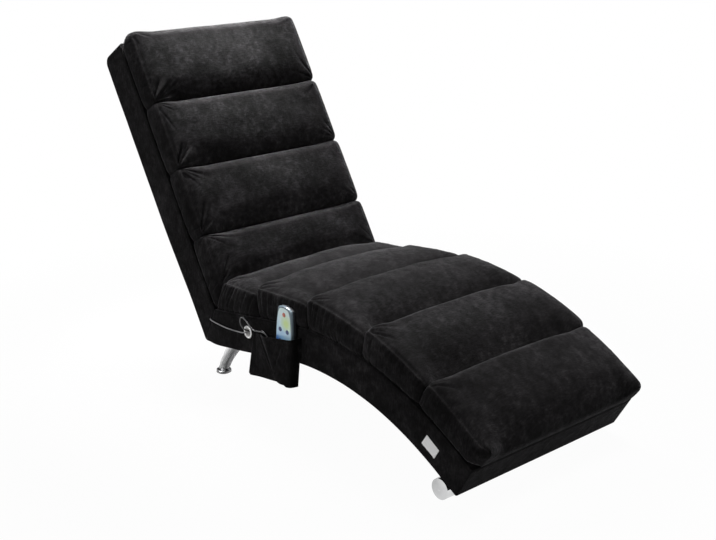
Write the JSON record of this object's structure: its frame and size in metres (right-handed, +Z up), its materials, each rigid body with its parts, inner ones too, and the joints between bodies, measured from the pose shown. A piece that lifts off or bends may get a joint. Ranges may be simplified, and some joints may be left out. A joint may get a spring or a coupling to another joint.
{
  "type": "massage lounge chair",
  "caption": "Long armless lounge chair in dark chenille with padded channels, a raised back, a curved seat, chrome feet and a side pocket with a massage handset.",
  "frame": {"origin": "on the floor, below the middle of the chair's box", "axes": "+X towards the foot end, +Y to the sitter's left, +Z up"},
  "size_m": [1.4504, 0.5933, 0.9209],
  "materials": {
    "plywood": "sanded plywood",
    "softwood": "planed softwood",
    "charcoal_chenille": "soft charcoal chenille with a low mottled nap",
    "foam": "open-cell foam",
    "webbing": "elastic webbing",
    "dust_cloth": "black non-woven cloth",
    "white_tape": "blank white woven tape",
    "chrome": "bright chrome plate",
    "zinc_steel": "zinc-plated steel",
    "felt": "dark felt",
    "white_plastic": "white moulded plastic",
    "black_plastic": "black moulded plastic",
    "cord_jacket": "smooth dark grey jacket",
    "grey_plastic": "dark grey moulded plastic",
    "pale_overlay": "pale blue and green film",
    "circuit_board": "green circuit board",
    "red_key": "soft red key",
    "blue_key": "soft dark blue key"
  },
  "bodies": {
    "frame": {"back_side_panel_left": "plywood", "back_side_panel_right": "plywood", "seat_side_panel_left": "plywood", "seat_side_panel_right": "plywood", "back_top_rail": "softwood", "back_middle_rail": "plywood", "back_mitre_rail": "softwood", "seat_mitre_rail": "softwood", "seat_middle_rail": "plywood", "seat_foot_board": "plywood", "seat_front_rail": "softwood", "webbing_cleats": "softwood", "webbing_straps": "webbing", "joint_bolts": "zinc_steel", "joint_nuts": "zinc_steel", "back_foam": "foam", "seat_foam": "foam", "back_channel_1": "charcoal_chenille", "back_channel_2": "charcoal_chenille", "back_channel_3": "charcoal_chenille", "back_channel_4": "charcoal_chenille", "seat_channel_1": "charcoal_chenille", "seat_channel_2": "charcoal_chenille", "seat_channel_3": "charcoal_chenille", "seat_channel_4": "charcoal_chenille", "seat_channel_5": "charcoal_chenille", "back_cover": "charcoal_chenille", "seat_cover": "charcoal_chenille", "underside_dust_cover": "dust_cloth", "side_tag": "white_tape", "leg_blocks": "softwood", "rear_legs": "chrome", "rear_foot_felts": "felt", "wood_screws": "zinc_steel", "foot_bar": "chrome", "foot_bar_caps": "chrome", "foot_bar_saddles": "softwood", "massage_pod_cases": "black_plastic", "massage_pod_lids": "black_plastic", "massage_motors": "zinc_steel", "wiring_harness": "cord_jacket", "power_inlet": "black_plastic", "cord_grommet": "white_plastic", "side_pocket": "charcoal_chenille", "back_lead": "cord_jacket", "handset_cord": "cord_jacket", "handset_cord_coil": "cord_jacket"},
    "handset": {"handset_back_shell": "grey_plastic", "handset_front_shell": "pale_overlay", "handset_circuit_board": "circuit_board"},
    "handset_power_key_body": {"handset_power_key": "red_key"},
    "handset_upper_left_key_body": {"handset_upper_left_key": "blue_key"},
    "handset_upper_right_key_body": {"handset_upper_right_key": "blue_key"},
    "handset_lower_left_key_body": {"handset_lower_left_key": "blue_key"},
    "handset_lower_right_key_body": {"handset_lower_right_key": "blue_key"},
    "massage_rotor_1_body": {"massage_rotor_1": "zinc_steel"},
    "massage_rotor_2_body": {"massage_rotor_2": "zinc_steel"},
    "massage_rotor_3_body": {"massage_rotor_3": "zinc_steel"},
    "massage_rotor_4_body": {"massage_rotor_4": "zinc_steel"},
    "massage_rotor_5_body": {"massage_rotor_5": "zinc_steel"}
  },
  "joints": [
    {"name": "handset_lift", "type": "slide", "parent": "frame", "child": "handset", "axis": [0.0698, 0, 0.9976], "range_m": [0, 0.11]},
    {"name": "handset_power_key_press", "type": "slide", "parent": "handset", "child": "handset_power_key_body", "axis": [0, 1, 0], "range_m": [0, 0.0008], "stiffness_N_per_m": 600},
    {"name": "handset_upper_left_key_press", "type": "slide", "parent": "handset", "child": "handset_upper_left_key_body", "axis": [0, 1, 0], "range_m": [0, 0.0008], "stiffness_N_per_m": 600},
    {"name": "handset_upper_right_key_press", "type": "slide", "parent": "handset", "child": "handset_upper_right_key_body", "axis": [0, 1, 0], "range_m": [0, 0.0008], "stiffness_N_per_m": 600},
    {"name": "handset_lower_left_key_press", "type": "slide", "parent": "handset", "child": "handset_lower_left_key_body", "axis": [0, 1, 0], "range_m": [0, 0.0008], "stiffness_N_per_m": 600},
    {"name": "handset_lower_right_key_press", "type": "slide", "parent": "handset", "child": "handset_lower_right_key_body", "axis": [0, 1, 0], "range_m": [0, 0.0008], "stiffness_N_per_m": 600},
    {"name": "massage_motor_1_spin", "type": "hinge", "parent": "frame", "child": "massage_rotor_1_body", "pos_m": [-0.38377, 0.029, 0.38922], "axis": [0, 1, 0], "continuous": true},
    {"name": "massage_motor_2_spin", "type": "hinge", "parent": "frame", "child": "massage_rotor_2_body", "pos_m": [-0.57664, 0.029, 0.71664], "axis": [0, 1, 0], "continuous": true},
    {"name": "massage_motor_3_spin", "type": "hinge", "parent": "frame", "child": "massage_rotor_3_body", "pos_m": [-0.05311, 0.029, 0.22356], "axis": [0, 1, 0], "continuous": true},
    {"name": "massage_motor_4_spin", "type": "hinge", "parent": "frame", "child": "massage_rotor_4_body", "pos_m": [0.16959, 0.029, 0.24583], "axis": [0, 1, 0], "continuous": true},
    {"name": "massage_motor_5_spin", "type": "hinge", "parent": "frame", "child": "massage_rotor_5_body", "pos_m": [0.45854, 0.029, 0.19545], "axis": [0, 1, 0], "continuous": true}
  ]
}
